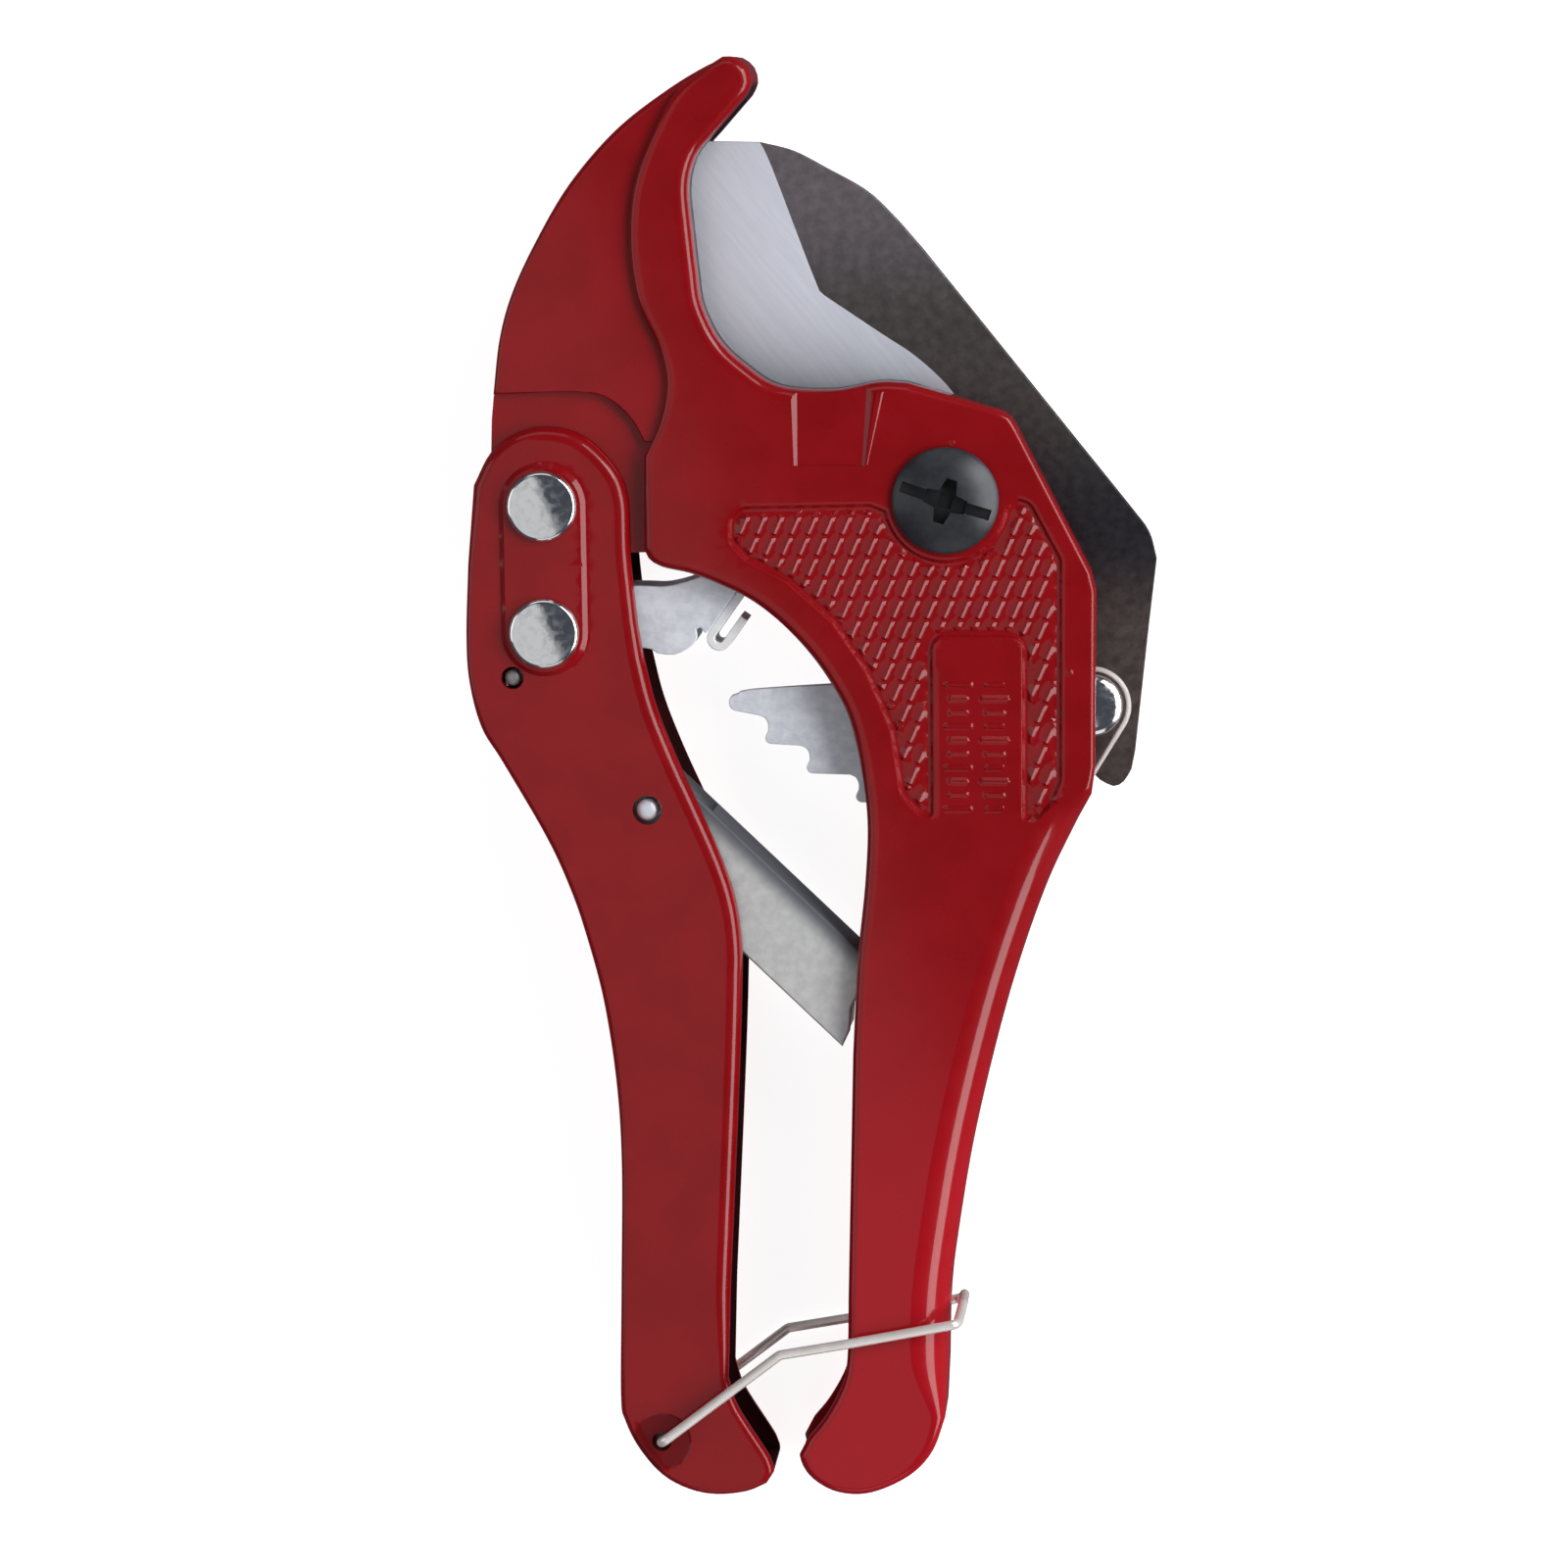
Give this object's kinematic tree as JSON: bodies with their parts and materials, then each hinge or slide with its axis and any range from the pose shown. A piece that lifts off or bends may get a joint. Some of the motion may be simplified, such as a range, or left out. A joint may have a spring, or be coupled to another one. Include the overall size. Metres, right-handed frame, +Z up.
{
  "type": "ratchet pipe cutter",
  "caption": "Hand-held ratchet cutter for plastic pipe: hooked jaw with a pipe seat, swinging blade, pawl and toothed rack, channel handle and wire lock bail.",
  "frame": {"origin": "middle of the tool's outline on the surface that it lies on, under its far side", "axes": "+Y from the handles to the jaw; +X from the moving handle to the blade's back; +Z up through the tool's thickness, towards the pivot screw's head"},
  "size_m": [0.0976, 0.2047, 0.0239],
  "materials": {
    "red_paint": "gloss",
    "blade_steel": "ground bevel on a dark plate",
    "zinc_plate": "satin",
    "bright_steel": "polished",
    "spring_wire": "drawn wire",
    "black_oxide": "black oxide, satin"
  },
  "bodies": {
    "cutter_body": {"body_frame": "red_paint", "pivot_screw": "black_oxide", "pivot_nut": "black_oxide", "lock_washer": "black_oxide", "blade_washer_near": "zinc_plate", "blade_washer_far": "zinc_plate"},
    "handle_group": {"moving_handle": "red_paint", "handle_rivet": "bright_steel", "pawl_rivet": "bright_steel", "spring_anchor_pin": "zinc_plate", "arm_pin": "zinc_plate", "pawl_spring": "spring_wire", "arm_spring": "spring_wire"},
    "blade_group": {"blade": "blade_steel", "rack_rivet": "bright_steel", "rack_spring": "spring_wire"},
    "rack_group": {"ratchet_rack": "zinc_plate"},
    "pawl_group": {"pawl": "zinc_plate"},
    "arm_group": {"spring_arm": "zinc_plate"},
    "bail_group": {"lock_bail": "spring_wire"}
  },
  "joints": [
    {"name": "handle_pivot", "type": "hinge", "parent": "cutter_body", "child": "handle_group", "pos_m": [-0.0379, 0.0392, 0.0115], "axis": [0, 0, -1], "range_deg": [0, 30]},
    {"name": "blade_pivot", "type": "hinge", "parent": "cutter_body", "child": "blade_group", "pos_m": [0.0191, 0.0402, 0.0115], "axis": [0, 0, -1], "range_deg": [0, 68]},
    {"name": "rack_pivot", "type": "hinge", "parent": "blade_group", "child": "rack_group", "pos_m": [0.0397, 0.0109, 0.0115], "axis": [0, 0, -1], "range_deg": [-63, 0]},
    {"name": "pawl_pivot", "type": "hinge", "parent": "handle_group", "child": "pawl_group", "pos_m": [-0.0376, 0.0212, 0.0115], "axis": [0, 0, -1], "range_deg": [-30, 0]},
    {"name": "arm_pivot", "type": "hinge", "parent": "handle_group", "child": "arm_group", "pos_m": [-0.0231, -0.0039, 0.0115], "axis": [0, 0, -1], "range_deg": [-53.4, 0]},
    {"name": "bail_pivot", "type": "hinge", "parent": "handle_group", "child": "bail_group", "pos_m": [-0.0212, -0.0947, 0.0115], "axis": [0, 0, -1], "range_deg": [0, 240]}
  ],
  "couplings": [
    {"joint": "blade_pivot", "follows": "handle_pivot", "ratio": 2.2666},
    {"joint": "rack_pivot", "follows": "handle_pivot", "ratio": -2.1},
    {"joint": "pawl_pivot", "follows": "handle_pivot", "ratio": -1},
    {"joint": "arm_pivot", "follows": "handle_pivot", "ratio": -1.777},
    {"joint": "bail_pivot", "follows": "handle_pivot", "ratio": 8}
  ]
}
